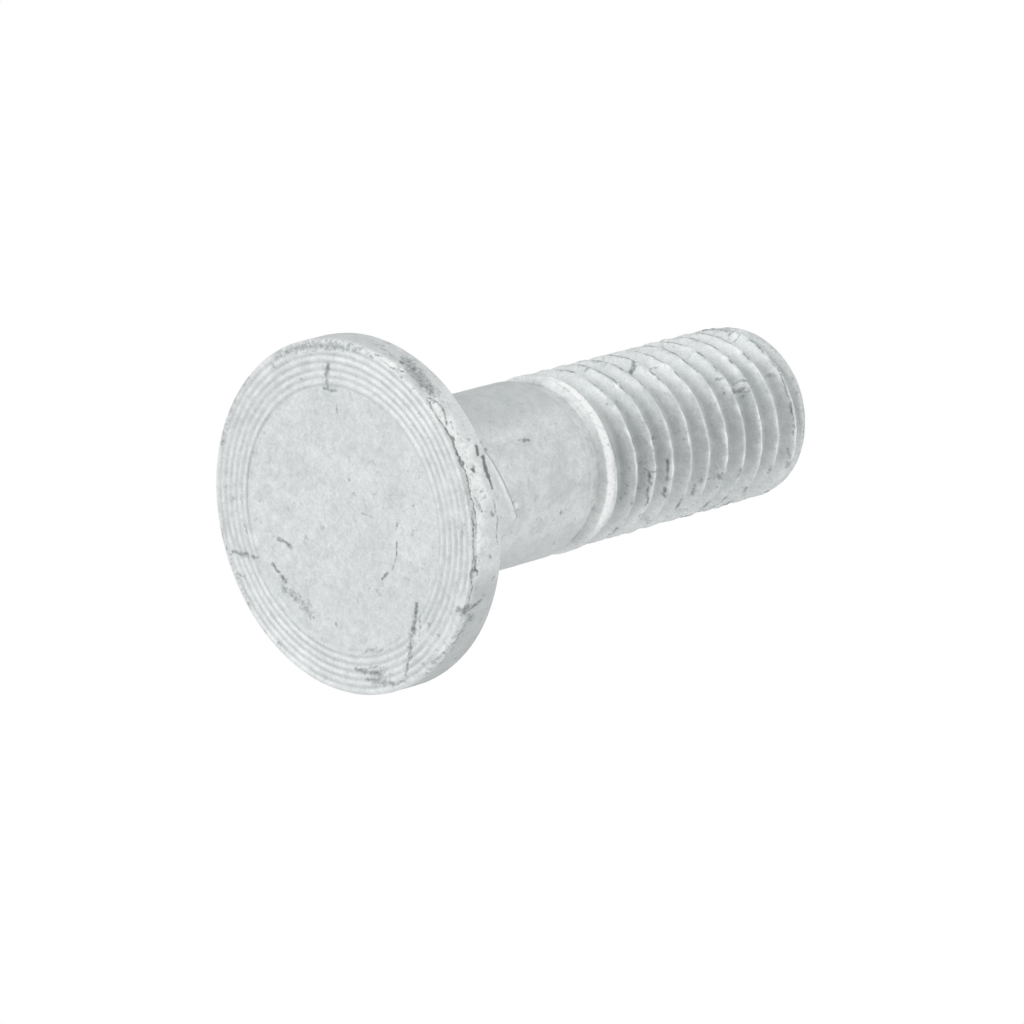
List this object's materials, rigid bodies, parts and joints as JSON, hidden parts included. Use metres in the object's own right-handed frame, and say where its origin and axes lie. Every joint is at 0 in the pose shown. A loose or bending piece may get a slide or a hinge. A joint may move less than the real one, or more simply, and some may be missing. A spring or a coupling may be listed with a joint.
{
  "type": "countersunk bolt",
  "caption": "Countersunk bolt with a flat blank face, a pointed nib under the seat, a plain shank and a coarse metric thread, hot-dip galvanised.",
  "frame": {"origin": "centre of the flat head face, at the surface it stands on", "axes": "+Z along the bolt's axis from the head to the threaded end; the nib is on the +X side"},
  "size_m": [0.023, 0.0228, 0.039],
  "materials": {
    "galvanised_steel": "matte hot-dip zinc over forged steel"
  },
  "bodies": {
    "root": {"bolt": "galvanised_steel"}
  },
  "joints": []
}
